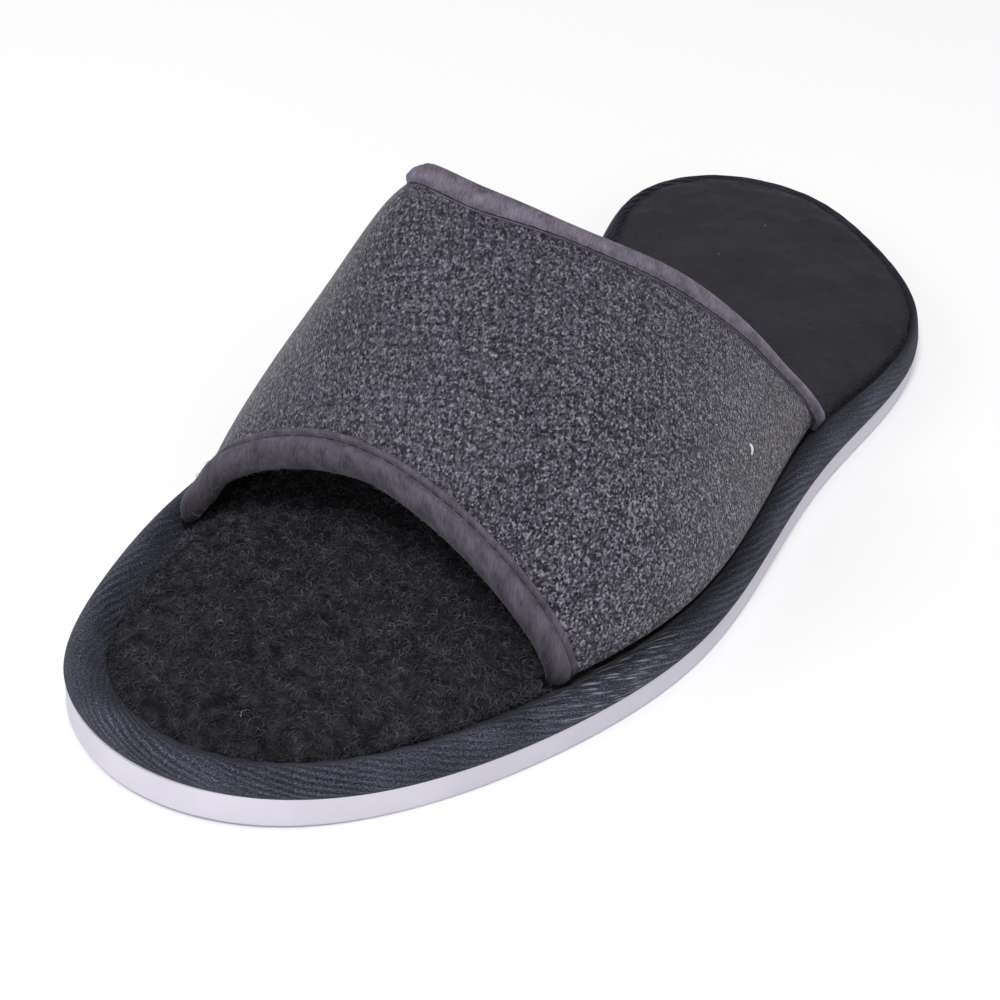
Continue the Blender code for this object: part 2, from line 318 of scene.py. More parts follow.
# %% [markdown]
# ## Dust, soiling and a painted highlight
# Two things come back on several cloths: pale specks of lint, and round patches, a soiled tint on the knit
# and a painted highlight on the twill. Each material could hold its own copy of the nodes. They are built
# once as groups instead, with the place in millimetres as input and a mask as output.

# %% Node groups
def new_group(name, inputs, recipe):
    """A node group with named inputs, from which the recipe makes its one output, a mask."""
    tree = bpy.data.node_groups.new(name, "ShaderNodeTree")
    for socket, kind in inputs.items():
        tree.interface.new_socket(socket, in_out="INPUT", socket_type="NodeSocket" + kind)
    tree.interface.new_socket("Mask", in_out="OUTPUT", socket_type="NodeSocketFloat")
    source = tree.nodes.new("NodeGroupInput").outputs
    result = tree.nodes.new("NodeGroupOutput").inputs["Mask"]
    tree.links.new(recipe(Recipe(tree), source), result)
    return tree


# %% Dust and patches
DUST_COLOUR = (0.36, 0.35, 0.39, 1)


def dust_mask(make, source):
    """Specks: cells of about 3 mm of which a share, the amount, hold a dot."""
    cell = make.add("TexVoronoi", {"Vector": source["Vector"], "Scale": 0.32})
    dot = make.math("LESS_THAN", cell.outputs["Distance"], 0.06)
    chosen = make.add("SeparateColor", {"Color": cell.outputs["Color"]}).outputs[0]
    few = make.math("LESS_THAN", chosen, source["Amount"])
    return make.math("MULTIPLY", dot, few)


def patch_mask(make, source):
    """1 in the middle of a patch and 0 beyond its radius, with a ragged soft border."""
    ends = {0: source["Vector"], 1: source["Centre"]}
    away = make.add("VectorMath", ends, operation="DISTANCE").outputs["Value"]
    share = make.math("DIVIDE", away, source["Radius"])
    ragged = make.total(0.0, (share, -1.0), (make.noise(source["Vector"], 0.12, 3), 0.9))
    return make.math("ADD", ragged, 1.0, clamp=True)


DUST = new_group("loose_dust", {"Vector": "Vector", "Amount": "Float"}, dust_mask)
PATCH = new_group("soil_and_highlight_patch", {"Vector": "Vector", "Centre": "Vector", "Radius": "Float"}, patch_mask)


def dusted(make, where, colour, amount):
    """The colour with specks of dust over it."""
    return make.mix(make.mask(DUST, Vector=where, Amount=amount), colour, DUST_COLOUR)


def patch(make, centre, radius):
    """Mask of a patch round a place on the slipper, in millimetres, for a soiled tint and a painted
    highlight.
    """
    return make.mask(PATCH, Vector=make.object_place(), Centre=centre, Radius=radius)


print("groups", [group.name for group in bpy.data.node_groups])

# %% [markdown]
# ## The foam outsole
# The outsole is a sheet of pale closed-cell foam, cut to the outline. It could stay the CAD solid, but
# that has few facets and sharp corners. So a profile with rounded edges is carried round the finer
# outline. The finish is matt, with tiny pores and a slight change of tone.

# %% Outsole
LOWER_ROUND = 1.2 * MM
UPPER_ROUND = 0.4 * MM
ARC_STEPS = 7


def outsole_profile():
    """(inset, height) from below to the top: a quarter arc, the upright side, a smaller quarter arc."""
    turn = np.linspace(0, np.pi / 2, ARC_STEPS)
    lower = np.column_stack([LOWER_ROUND * (1 - np.sin(turn)), LOWER_ROUND * (1 - np.cos(turn))])
    top = SOLE_THICKNESS - UPPER_ROUND
    upper = np.column_stack([UPPER_ROUND * (1 - np.cos(turn)), top + UPPER_ROUND * np.sin(turn)])
    return np.concatenate([lower, upper])


def foam(make):
    where = make.object_place()
    tone = make.noise(where, 0.05, 3)
    light = make.math("ADD", tone, 0.5)
    colour = make.ramp(light, (0.3, (0.60, 0.572, 0.662)), (0.7, (0.655, 0.627, 0.717)))
    # Painted shade: the foam is a little darker towards both sides of the sole, from 25 to 50 mm out.
    sides = make.between(make.math("ABSOLUTE", make.part(where, 0)), 25, 50)
    colour = make.dimmed(colour, 1.0, (sides, -0.08))
    pores = make.add("TexVoronoi", {"Vector": where, "Scale": 1.6}).outputs["Distance"]
    height = make.math("ADD", pores, make.noise(where, 0.6, 4))
    rough = make.total(0.55, (tone, 0.4))
    return {"Base Color": colour, "Roughness": rough, "Normal": make.bump(height, 0.05 * MM)}


outsole_rings = np.array([sole_ring(inset, height) for inset, height in outsole_profile()])
outsole = swept("foam_outsole", outsole_rings)
dress(outsole, "pale_foam", finish("pale_foam", foam, {"Specular IOR Level": 0.25}), "outsole")

# %% [markdown]
# ## The twill tape round the sole
# A woven tape is rolled over the sole's edge and sewn down inside. It could be a bevelled curve, but the
# roll is higher outside than inside. So a short table of points is made into a smooth closed profile and
# carried round the outline. Puckers, where the tape is gathered, are waves along the path that fade
# towards the outer edge.

# %% Twill tape form
TAPE_PROFILE = (
    # inset, above_outsole, overhang and drop where the edge faces sideways, in millimetres
    (0.5, 0.3, 1.0, 0.0),
    (0.0, 1.4, 0.8, 0.0),
    (0.3, 3.0, 0.4, 0.0),
    (1.3, 4.7, 0.1, 0.0),
    (2.8, 5.4, 0.0, 0.0),
    (4.4, 5.2, 0.0, 0.3),
    (6.0, 4.6, 0.0, 1.1),
    (7.6, 3.6, 0.0, 1.5),
    (9.0, 2.6, 0.0, 1.4),
)
TAPE_INSET = TAPE_PROFILE[-1][0] * MM
TAPE_PROFILE_POINTS = 30
PUCKER_PITCH = 7.5 * MM
PUCKER_DEPTH = 0.14 * MM
PUCKER_DRIFT = 2.5
PUCKER_DRIFT_WAVES = 9
HANG_DOWN = 1.2
HANG_OUT = 0.7
HEEL_NARROWING = 0.8
NARROWING_START = 20 * MM
NARROWING_LENGTH = 105 * MM


def smooth_step(share):
    """0 below 0, 1 above 1 and 3 t^2 - 2 t^3 between them."""
    share = np.clip(share, 0, 1)
    return share**2 * (3 - 2 * share)


def tape_share(y):
    """Share of the tape's full width that shows: 1 from the toe to the waist, less round the heel."""
    return 1 - HEEL_NARROWING * smooth_step((y - NARROWING_START) / NARROWING_LENGTH)


def smooth_line(points, samples):
    """An open curve through a few points: cubic Hermite pieces whose slopes come from the neighbours."""
    points = np.asarray(points, float)
    knots = run_length(points)
    slopes = np.gradient(points, knots, axis=0)
    where = np.linspace(0, knots[-1], samples)
    piece = np.clip(np.searchsorted(knots, where, side="right") - 1, 0, len(knots) - 2)
    width = np.diff(knots)[piece][:, None]
    t = (where[:, None] - knots[piece][:, None]) / width
    start = (2 * t**3 - 3 * t**2 + 1) * points[piece] + (t**3 - 2 * t**2 + t) * slopes[piece] * width
    end = (3 * t**2 - 2 * t**3) * points[piece + 1] + (t**3 - t**2) * slopes[piece + 1] * width
    return start + end


def twill_profile():
    """(inset, height, overhang, drop): the smooth roll from outside to inside, then back below it."""
    roll = smooth_line(np.array(TAPE_PROFILE) * MM, TAPE_PROFILE_POINTS)
    below = np.linspace(roll[-1], roll[0], TAPE_PROFILE_POINTS + 2)[1:-1]
    below[:, 1] = np.minimum(CLEARANCE, below[:, 1])
    return np.concatenate([roll, below])


def twill_rings():
    """The profile at every point of the outline, with puckers: sine waves of slowly changing pitch.

    Where the edge faces sideways, the roll hangs over the foam and falls away to the strap's seam.
    """
    profile = twill_profile()
    shown = tape_share(OUTLINE[:, 1])
    sideways = HEADING[:, 1] ** 2
    rings = []
    for inset, above, hang, drop in profile:
        height = SOLE_THICKNESS + above - (HANG_DOWN * hang + drop) * sideways
        rings.append(sole_ring(inset * shown - HANG_OUT * hang * sideways, height))
    rings = np.array(rings)
    way = np.cumsum(np.linalg.norm(np.diff(OUTLINE, axis=0, prepend=OUTLINE[-1:]), axis=1))
    drift = PUCKER_DRIFT * np.sin(2 * np.pi * way / way[-1] * PUCKER_DRIFT_WAVES)
    wave = np.sin(2 * np.pi * way / PUCKER_PITCH + drift)
    strength = np.clip(profile[:, 0] / profile[:, 0].max(), 0, 1) * (profile[:, 1] > CLEARANCE)
    rings[:, :, 2] += PUCKER_DEPTH * strength[:, None] * wave
    return np.swapaxes(rings, 0, 1)


# %% Twill finish and tape
RIB_PITCH = 1.35
RIB_TURN = np.radians(-17)
# Place and radius of a painted highlight at the ball of the little-toe side, in millimetres.
PAINTED_HIGHLIGHT_BALL = ((54, -58, 11), 27.0)


def twill(make):
    where = make.flat_place()
    place = make.object_place()
    turned = make.mapped(where, (1, 1, 1), RIB_TURN)
    drift = make.noise(where, 0.09, 2)
    phase = make.total(0.0, (make.part(turned, 1), 1 / RIB_PITCH), (drift, 1.6))
    rib = make.math("SINE", make.math("MULTIPLY", phase, 2 * np.pi))
    clear = make.between(make.noise(where, 0.045, 2), -0.15, 0.1)
    ribs = make.math("MULTIPLY", rib, clear)
    weave = make.noise(make.mapped(turned, (1.9, 3.3, 1)), 1.0, 3, 0.6)
    worn = make.noise(where, 0.07, 3)
    to_inside = make.between(make.part(place, 0), -5, -45)
    tone = make.total(0.47, (ribs, 0.1), (weave, 1.4), (worn, 0.4), (to_inside, 0.06))
    colour = make.ramp(
        tone,
        (0.2, (0.0075, 0.0082, 0.0125)),
        (0.45, (0.032, 0.0345, 0.051)),
        (0.66, (0.082, 0.087, 0.124)),
        (0.95, (0.23, 0.24, 0.32)),
    )
    to_waist = make.between(make.part(place, 1), -105, -55)
    to_heel = make.between(make.part(place, 1), 0, 80)
    colour = make.dimmed(colour, 1.0, (to_heel, 0.2))
    # Painted shade: the tape is darker along its inner border, in the groove by the insole, most at the
    # waist and least at the heel.
    painted_seam_shade = make.between(make.total(make.part(where, 1), (to_waist, 2.6)), 7.0, 10.0)
    depth = make.total(0.3, (to_waist, 0.4), (to_heel, -0.35))
    colour = make.dimmed(colour, 1.0, (make.math("MULTIPLY", painted_seam_shade, depth), -1.0))
    # Painted highlight: pale streaks along the roll at the ball on the little-toe side.
    streak = make.between(make.noise(make.mapped(turned, (0.16, 2.0, 1)), 1.0, 2), 0.04, 0.2)
    painted_highlight = make.math("MULTIPLY", streak, patch(make, *PAINTED_HIGHLIGHT_BALL))
    colour = make.mix(painted_highlight, colour, (0.33, 0.34, 0.42, 1))
    height = make.total(weave, (ribs, 0.35))
    return {"Base Color": dusted(make, where, colour, 0.03), "Normal": make.bump(height, 0.4 * MM)}


sole_tape = swept("twill_tape", twill_rings(), closed_path=True, even=True)
twill_finish = finish("navy_twill", twill, {**CLOTH, "Roughness": 0.75, "Sheen Weight": 0.04})
dress(sole_tape, "navy_twill", twill_finish, "sole_binding")

# %% [markdown]
# ## The plush insole
# The insole is a thin pad under a short curly plush. It could be one cushion with a noisy finish, but
# plush shows real hairs at its border. So it is made twice: a softly lumpy pad, a little lower than the
# solid, and then thousands of curly fibres on it. The clumps of the plush are a group too, because pad and
# fibres share them. They paint light on the tufts and shade in the gaps between them.

# %% Insole form
INSOLE_EDGE = 2.5 * MM
INSOLE_RISE = 5.3 * MM
INSOLE_FLATNESS = 4.0
INSOLE_SPINE_END = 45 * MM
INSOLE_GAP = 0.2 * MM
PILE = 0.9 * MM
PAD_RINGS = 46
LUMP_HEIGHT = 0.22 * MM
LUMPS = 40
HEEL_FILLING = 2.4 * MM
INNERMOST_REACH = 0.015


def lumps(x, y):
    """Soft unevenness: many sine waves in random directions, summed, over the root of their number."""
    waves = np.random.default_rng(3)
    length = waves.uniform(5, 16, LUMPS) * MM
    heading = waves.uniform(0, 2 * np.pi, LUMPS)
    phase = waves.uniform(0, 2 * np.pi, LUMPS)
    place = x[..., None] * np.cos(heading) + y[..., None] * np.sin(heading)
    return np.sin(2 * np.pi * place / length + phase).sum(axis=-1) / LUMPS**0.5


def insole_rings():
    """Rings from the pad's edge to its middle line; the height falls to the edge as (1 - reach^4)^0.5.

    Round the heel, where the tape is narrow, the plush fills the edge up.
    """
    inset = TAPE_INSET * tape_share(OUTLINE[:, 1]) + INSOLE_GAP
    edge = inset_ring(inset)
    middle = (edge + np.roll(edge[::-1], 1, axis=0)) / 2
    along = np.clip(middle[:, 1], INSOLE_SPINE_END - HALF_LENGTH, HALF_LENGTH - INSOLE_SPINE_END)
    half = middle[: OUTLINE_POINTS // 2 + 1][::-1]
    spine = np.column_stack([np.interp(along, half[:, 1], half[:, 0]), along])
    reach = np.sin(np.linspace(np.pi / 2, INNERMOST_REACH, PAD_RINGS))[:, None, None]
    place = spine + (edge - spine) * reach
    filled = HEEL_FILLING * (1 - tape_share(OUTLINE[:, 1])) / HEEL_NARROWING
    rise = (INSOLE_RISE - filled) * (1 - reach[..., 0] ** INSOLE_FLATNESS) ** 0.5
    height = SOLE_THICKNESS + CLEARANCE + INSOLE_EDGE + filled + rise - PILE + toe_lift(place[..., 1])
    height = height + LUMP_HEIGHT * lumps(place[..., 0], place[..., 1]) * (rise > 0)
    top = np.concatenate([place, height[..., None]], axis=-1)
    return np.concatenate([sole_ring(inset, SOLE_THICKNESS + CLEARANCE)[None], top])


# %% Plush finish and pad
TRODDEN_COLOUR = (0.029, 0.0275, 0.0345, 1)
TRODDEN_END = 70 * MM
CLUMP_DEPTH = 2.4


def clump_mask(make, source):
    """Painted light on tufts and painted shade in the gaps; it fades where the plush is trodden flat:
    noise times what is still fluffy.
    """
    fluffy = make.between(make.part(source["Vector"], 1), TRODDEN_END / MM, 0)
    tufts = make.math("MULTIPLY", make.noise(source["Vector"], 0.3, 2), CLUMP_DEPTH)
    return make.math("MULTIPLY", tufts, fluffy)


CLUMPS = new_group("plush_clumps", {"Vector": "Vector"}, clump_mask)


def plush(make):
    where = make.object_place()
    tuft = make.noise(where, 0.45, 4, 0.65)
    hair = make.noise(make.mapped(where, (1.6, 0.7, 1)), 1.1, 3)
    tone = make.total(0.5, (tuft, 0.6), (hair, 0.6))
    colour = make.ramp(tone, (0.3, (0.009, 0.0086, 0.0108)), (0.7, (0.03, 0.029, 0.036)))
    trodden = make.between(make.part(where, 1), 0, TRODDEN_END / MM)
    colour = make.mix(make.math("MULTIPLY", trodden, 0.9), colour, TRODDEN_COLOUR)
    # Painted light and shade: the clumps lighten the tufts and darken the gaps between them.
    clumps = make.mask(CLUMPS, Vector=where)
    colour = make.dimmed(colour, 1.0, (make.noise(where, 0.06, 3), 0.8), (clumps, 1.0))
    relief = make.math("MULTIPLY", tone, make.total(1.0, (trodden, -0.75)))
    return {"Base Color": colour, "Normal": make.bump(relief, 0.5 * MM)}


pad_rings = insole_rings()
pad = swept("plush_pad", pad_rings)
dress(pad, "black_plush", finish("black_plush", plush, {**CLOTH, "Roughness": 1.0}), "insole")

# %% [markdown]
# ## Hairs
# Plush, fuzz and lint are short bent hairs. A particle system could grow them, but it is no plain mesh.
# Here every hair is a thin closed tube: places are drawn at random on a surface, larger cells getting
# more, and all tubes of a piece are made at once as one array. Each hair keeps one random number, so that
# its finish can be paler or darker than its neighbours'.

# %% Tubes
def tubes(name, centre, across, up, radius, sides, seed):
    """One mesh of many closed tubes: at every centre[tube, ring] a ring of radius * (across, up)."""
    count, rings = centre.shape[:2]
    corner = 2 * np.pi * np.arange(sides)[:, None] / sides
    spread = across[:, :, None] * np.cos(corner) + up[:, :, None] * np.sin(corner)
    points = centre[:, :, None] + spread * radius[:, :, None, None]
    ring, k = np.meshgrid(np.arange(rings - 1) * sides, np.arange(sides), indexing="ij")
    after = (k + 1) % sides
    skin = np.stack([ring + k, ring + after, ring + sides + after, ring + sides + k], axis=-1)
    fan = np.arange(1, sides - 1)
    root_cap = np.stack([0 * fan, fan + 1, fan], axis=1)
    tip_cap = np.stack([0 * fan, fan, fan + 1], axis=1) + (rings - 1) * sides
    first = np.arange(count)[:, None, None] * rings * sides
    caps = np.concatenate([root_cap, tip_cap])
    piece = make_mesh(name, points.reshape(-1, 3), first + skin.reshape(-1, 4), first + caps)
    tone = np.random.default_rng(seed).random(count).astype(np.float32)
    attribute = piece.data.attributes.new("tone", "FLOAT", "POINT")
    attribute.data.foreach_set("value", np.repeat(tone, rings * sides))
    return piece


# %% Scattered hairs
HAIR_RINGS = 4
HAIR_TAPER = 0.6
SLANTED = (0.36, 0.8, 0.48)


def scatter(surface, count, seed, favour=1.0):
    """Random places on a grid of points and their normals; large or favoured cells get more of them."""
    chance = np.random.default_rng(seed)
    along = surface[1:, :-1] - surface[:-1, :-1]
    across = surface[:-1, 1:] - surface[:-1, :-1]
    normal = np.cross(along, across)
    odds = (np.linalg.norm(normal, axis=-1) * favour).ravel()
    i, j = np.unravel_index(chance.choice(odds.size, count, p=odds / odds.sum()), normal.shape[:2])
    u, v = chance.random((2, count, 1))
    return surface[i, j] + u * along[i, j] + v * across[i, j], unit(normal[i, j])


def hairs(name, root, normal, length, rise, radius, curl, seed, headings=(0, 2 * np.pi)):
    """Hairs that start in a random heading, bend by up to curl radians and rise in half a sine wave."""
    chance = np.random.default_rng(seed)
    count = len(root)
    t = np.linspace(0, 1, HAIR_RINGS)
    side = unit(np.cross(normal, SLANTED))[:, None]
    forward = np.cross(normal, side[:, 0])[:, None]
    heading = chance.uniform(*headings, (count, 1)) + chance.uniform(-curl, curl, (count, 1)) * t
    steps = np.exp(1j * heading) * np.reshape(length, (-1, 1)) / (HAIR_RINGS - 1)
    way = np.cumsum(steps, axis=1) - steps[:, :1]
    lift = np.reshape(rise, (-1, 1)) * np.sin(np.pi * t**0.8)
    up = np.broadcast_to(normal[:, None], (count, HAIR_RINGS, 3))
    sideways = way.real[..., None] * side + way.imag[..., None] * forward
    centre = root[:, None] + sideways + lift[..., None] * up
    across = np.cos(heading)[..., None] * forward - np.sin(heading)[..., None] * side
    return tubes(name, centre, across, up, np.reshape(radius, (-1, 1)) * (1 - HAIR_TAPER * t), 3, seed + 1)


def hair_colour(make, dark, pale):
    """A colour between dark and pale for each hair, by the number that it keeps."""
    tone = make.add("Attribute", attribute_name="tone").outputs["Fac"]
    return make.ramp(tone, (0.0, dark), (1.0, pale))


# %% [markdown]
# ## The plush nap
# At the toe the plush is curly, in tufts with dark gaps. Round the heel it is trodden flat and greyer. An
# even coat would miss both, so the hairs' places follow a slow pattern of tufts, and the hairs are thicker
# and rise higher in front. Three meshes along the slipper keep each one light.

# %% Nap finish
def nap(make):
    place = make.object_place()
    colour = hair_colour(make, (0.018, 0.0172, 0.0216), (0.05, 0.048, 0.0595))
    trodden = make.between(make.part(place, 1), 0, TRODDEN_END / MM)
    colour = make.mix(make.math("MULTIPLY", trodden, 0.93), colour, TRODDEN_COLOUR)
    # Painted light: the nap is lighter from the ball back, against the shade of the strap. The clumps
    # paint light on the tufts and shade in the gaps.
    painted_light_from_ball = make.between(make.part(place, 1), -115, -75)
    clumps = make.mask(CLUMPS, Vector=place)
    slow = make.noise(place, 0.07, 2)
    colour = make.dimmed(colour, 0.88, (slow, 0.6), (clumps, 1.0), (painted_light_from_ball, 0.4))
    return {"Base Color": colour}


# %% Plush nap
NAP_HAIRS = 24500
BORDER_HAIRS = 4500
BORDER_RINGS = 6
NAP_PIECES = ("nap_toe", "nap_waist", "nap_heel")
TUFT_SCALE = 2.2
FLUFFY_END = 40 * MM
FLUFFY_FADE = 90 * MM
pad_top = np.concatenate([pad_rings[1:], pad_rings[1:, :1]], axis=1)
pad_cells = pad_top[:-1, :-1]
tufts = lumps(TUFT_SCALE * pad_cells[..., 0], TUFT_SCALE * pad_cells[..., 1])
trodden = np.clip(pad_cells[..., 1] / TRODDEN_END, 0, 1)
favour = np.clip(0.6 + 0.9 * tufts, 0.06, 3) * (1 - 0.97 * trodden)
nap_root, nap_normal = scatter(pad_top, NAP_HAIRS, 5, favour)
rim_root, rim_normal = scatter(pad_top[:BORDER_RINGS], BORDER_HAIRS, 6)
nap_root = np.concatenate([nap_root, rim_root])
nap_normal = np.concatenate([nap_normal, rim_normal])
nap_normal = nap_normal * np.sign(nap_normal[:, 2:])
nap_order = np.argsort(nap_root[:, 1])
nap_finish = finish("plush_nap", nap, {**CLOTH, "Roughness": 1.0})
for number, part in enumerate(np.array_split(nap_order, len(NAP_PIECES))):
    chance = np.random.default_rng(20 + number)
    fluffy = np.clip((FLUFFY_END - nap_root[part, 1]) / FLUFFY_FADE, 0, 1)
    hair_length = chance.uniform(1.3, 2.6, len(part)) * MM
    hair_rise = chance.uniform(0.05, 0.1 + 0.9 * fluffy) * MM
    hair_radius = chance.uniform(0.08, 0.13 + 0.19 * fluffy) * MM
    sizes = (hair_length, hair_rise, hair_radius)
    nap_piece = hairs(NAP_PIECES[number], nap_root[part], nap_normal[part], *sizes, 4.2, 30 + number)
    dress(nap_piece, "black_plush", nap_finish, "insole")

# %% [markdown]
# ## The strap's form
# The strap is one arched wall. Its sections are half superellipses from the foot on the little-toe side
# over the crest to the foot on the big-toe side, leaning forward as they rise. It could be sculpted, but
# on a formula of two parameters the knit, the lining, the tapes and the stitches can all be laid. Below
# its base the wall eases inwards, down between the twill tape and the insole.

# %% Strap sizes
STRAP = {
    # size: at the front edge, at the rear edge, bow between them; lengths in millimetres
    "outer_foot_from_heel": (209.5, 90, 0),
    "inner_foot_from_heel": (219, 108, 0),
    "base_inset": (7.4, 7.0, -3.4),
    "base_height": (13.3, 13.3, 1.8),
    "crest_from_heel": (213.5, 172.8, 0),
    "crest_across": (1.3, -19.0, -1),
    "crest_height": (45.5, 93, 4),
    "fullness": (1.65, 2.5, 0),
    "lean": (0.94, 1.28, 0),
}


def strap_size(name, share):
    """A size of the strap between its front edge (share 0) and its rear edge (share 1), with its bow."""
    front, rear, bow = STRAP[name]
    return front + (rear - front) * share + bow * 4 * share * (1 - share)


# %% Strap surface
WALL = 2.6 * MM
STRAP_SEAT = SOLE_THICKNESS + CLEARANCE
STRAP_SEAT_INSET = 9.3 * MM + WALL / 2
TUCK_SHARE = 0.6
OUTLINE_MIDDLE = 0.13 * MM
PULLS = (
    # edge (share), angle over the arch and its spread (radians); pull across, back and up (mm)
    (1, 0.27, 0.17, 0.0, -2.7, 0.0),
    (1, 0.76, 0.20, 0.0, 2.5, 0.0),
    (1, 1.34, 0.12, 0.0, -1.0, 0.0),
    (1, 1.90, 0.22, 0.0, 0.0, -2.2),
    (1, 2.15, 0.35, 3.2, 0.0, 0.0),
    (0, 2.90, 0.16, 1.6, 0.0, 0.0),
)
PULL_FADE = 10


def side_x(inset, y, outer):
    """Where the outline, moved inwards, crosses y on the little-toe side (outer) or the big-toe side.

    It is read between the outline and the inner border of the tape, as a share of the tape's width.
    """
    half = OUTLINE_POINTS // 2
    lines = []
    for ring in (OUTLINE, inset_ring(TAPE_INSET)):
        sides = (ring[: half + 1][::-1], np.roll(ring, -half, axis=0)[: half + 1])
        little_toe, big_toe = (np.interp(y, side[:, 1], side[:, 0]) for side in sides)
        lines.append(np.where(outer, little_toe, big_toe))
    return lines[0] + (lines[1] - lines[0]) * inset / TAPE_INSET


def strap_middle(share, turn):
    """Middle of the wall. On the arch turn runs from 0 to pi; one more on either side is the tucked foot.

    x goes from foot to crest with |cos|^(2/n), z and y with sin^(2/n), n being the fullness. A few soft
    pulls wear the edges out of shape: each fades with the angle over the arch and away from its edge.
    """
    share, turn = np.broadcast_arrays(np.asarray(share, float), np.asarray(turn, float))
    outer = np.cos(turn) > 0
    arch = np.clip(turn, 0, np.pi)
    power = 2 / strap_size("fullness", share)
    sideways = np.abs(np.cos(arch)) ** power
    upwards = np.clip(np.sin(arch), 0, 1) ** power
    feet = (strap_size(foot + "_foot_from_heel", share) for foot in ("outer", "inner"))
    foot = np.where(outer, *feet)
    crest = strap_size("crest_from_heel", share)
    foot_y = HALF_LENGTH - foot * MM
    inset = strap_size("base_inset", share) * MM + WALL / 2
    base_x = side_x(inset, foot_y, outer)
    seat_x = side_x(STRAP_SEAT_INSET, foot_y, outer)
    base_z = strap_size("base_height", share) * MM
    depth = np.maximum(np.maximum(-turn, turn - np.pi), 0)
    ease = smooth_step(depth / TUCK_SHARE)
    crest_x = strap_size("crest_across", share) * MM - OUTLINE_MIDDLE
    x = crest_x + (base_x - crest_x) * sideways + (seat_x - base_x) * ease
    y = HALF_LENGTH - (foot + (crest - foot) * upwards ** strap_size("lean", share)) * MM
    rise = strap_size("crest_height", share) * MM - WALL / 2 - base_z
    z = base_z + rise * upwards - (base_z - STRAP_SEAT) * depth
    place = np.stack([x, y, z], axis=-1)
    seen = np.arctan2(upwards, np.where(outer, sideways, -sideways))
    for edge, angle, spread, *pulled in PULLS:
        near_edge = np.abs(1 - np.abs(share - edge)) ** PULL_FADE
        pull = near_edge * np.exp(-(((seen - angle) / spread) ** 2)) * MM
        place = place + pull[..., None] * pulled
    return place


# %% Normals and even steps
NORMAL_STEP = 1e-3
FINE_TURNS = 4000


def strap_normal(share, turn):
    """Outward normal of the wall, from small steps along and round the strap."""
    turn = np.asarray(turn, float)
    along = strap_middle(share + NORMAL_STEP, turn) - strap_middle(share - NORMAL_STEP, turn)
    around = strap_middle(share, turn + NORMAL_STEP) - strap_middle(share, turn - NORMAL_STEP)
    return unit(np.cross(along, around))


def even_turns(share, count, outer_tuck, inner_tuck):
    """Values of turn at equal steps of length round the strap, from one foot to the other."""
    fine = np.linspace(-outer_tuck, np.pi + inner_tuck, FINE_TURNS)
    way = run_length(strap_middle(share, fine))
    return np.interp(np.linspace(0, way[-1], count), way, fine)


for name, share in (("front", 0.0), ("middle", 0.5), ("rear", 1.0)):
    arch = strap_middle(share, np.linspace(0, np.pi, 400))
    print(name, "arch", round(run_length(arch)[-1] / MM), "mm long")

# %% [markdown]
# ## The knitted strap
# The outside is a marled knit: pale and dark yarns twisted together, so that every stitch shows another
# mix. Each stitch could be a loop of yarn, but there are tens of thousands. So the wall is a fine grid
# with listed creases, and the stitches are cells of the finish: a random tone for each, a repeat of
# about 2 mm, and relief from the distance to the cell's middle.

# %% Wall with creases
STRAP_STATIONS = 190
WALL_STEPS = 70
CREASES = (
    # share, turn (radians), length along the strap, width round it (mm), height (mm)
    (0.55, 1.75, 0.60, 9.0, 0.5),
    (0.40, 0.75, 0.30, 12.0, -0.5),
    (0.75, 0.55, 0.22, 14.0, -0.4),
    (0.30, 2.30, 0.30, 12.0, -0.4),
    (0.16, 1.15, 0.10, 16.0, 0.3),
    (0.84, 2.10, 0.22, 11.0, 1.6),
)
SEAM_DIP = 0.35 * MM
SEAM_WIDTH = 0.05
CREASE_FADE = 0.3


def crease_offset(share, turn):
    """Offset along the normal: soft bumps and troughs from the table, and a dip beside both edge tapes."""
    middle = strap_middle(share, turn)
    offset = np.zeros(np.shape(share))
    for place, angle, length, width, height in CREASES:
        away = np.linalg.norm(middle - strap_middle(share, np.full_like(turn, angle)), axis=-1)
        fade = np.exp(-((share - place) ** 2) / (2 * length**2))
        offset = offset + height * MM * fade * np.exp(-(away**2) / (2 * (width * MM) ** 2))
    to_edge = np.minimum(share, 1 - share) / SEAM_WIDTH
    return offset * (1 - np.exp(-((to_edge / 2) ** 2))) - SEAM_DIP * np.exp(-(to_edge**2))


def strap_rings():
    """At every turn a ring round the wall: outside from front to rear, inside from rear to front."""
    share = np.linspace(0, 1, WALL_STEPS)[None, :]
    turn = even_turns(0.5, STRAP_STATIONS, 1.0, 1.0)[:, None]
    share, turn = np.broadcast_arrays(share, turn)
    middle = strap_middle(share, turn)
    normal = strap_normal(share, turn)
    fade = np.clip(np.sin(np.clip(turn, 0, np.pi)) / CREASE_FADE, 0, 1)
    outside = middle + normal * (WALL / 2 + crease_offset(share, turn) * fade)[..., None]
    inside = middle - normal * WALL / 2
    return np.concatenate([outside, inside[:, ::-1]], axis=1)


# %% Knit finish
KNIT_TURN = np.radians(16)
KNIT_REPEAT = 2.3
SOILED_SIDE = ((40, 28, 20), 20.0)


